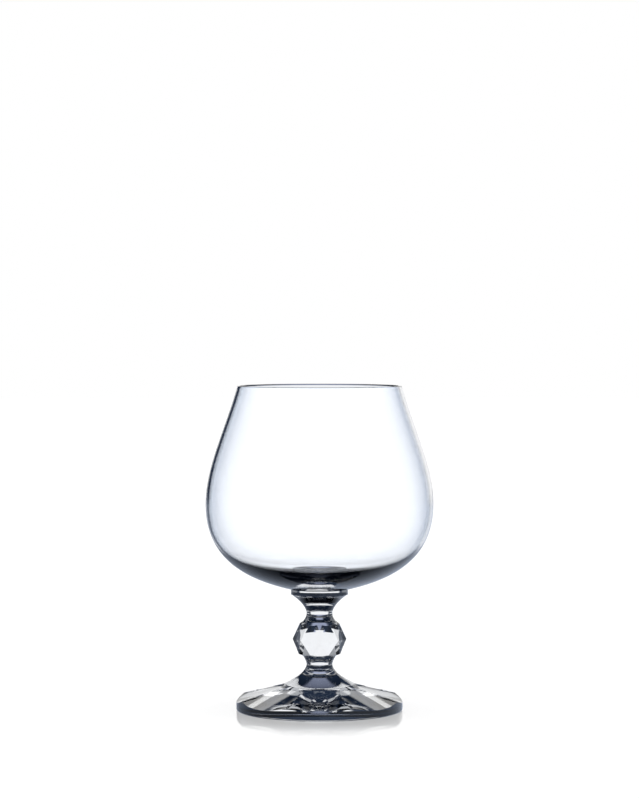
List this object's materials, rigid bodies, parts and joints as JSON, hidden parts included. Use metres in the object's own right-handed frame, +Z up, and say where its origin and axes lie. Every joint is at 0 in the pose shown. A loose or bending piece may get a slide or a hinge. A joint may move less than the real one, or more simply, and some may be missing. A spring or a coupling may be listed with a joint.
{
  "type": "brandy snifter",
  "caption": "Stemmed spirits glass with a wide round bowl that narrows to its rim, a short stem with a faceted knop, and a round fluted foot.",
  "frame": {"origin": "middle of the flat ring that the foot rests on, on the axis of the glass", "axes": "+Z up along the axis of the glass, -Y towards the side that the picture shows"},
  "size_m": [0.082, 0.082, 0.117],
  "materials": {
    "clear_glass": "clear fire-polished glass"
  },
  "bodies": {
    "root": {"bowl": "clear_glass", "stem": "clear_glass", "foot": "clear_glass"}
  },
  "joints": []
}
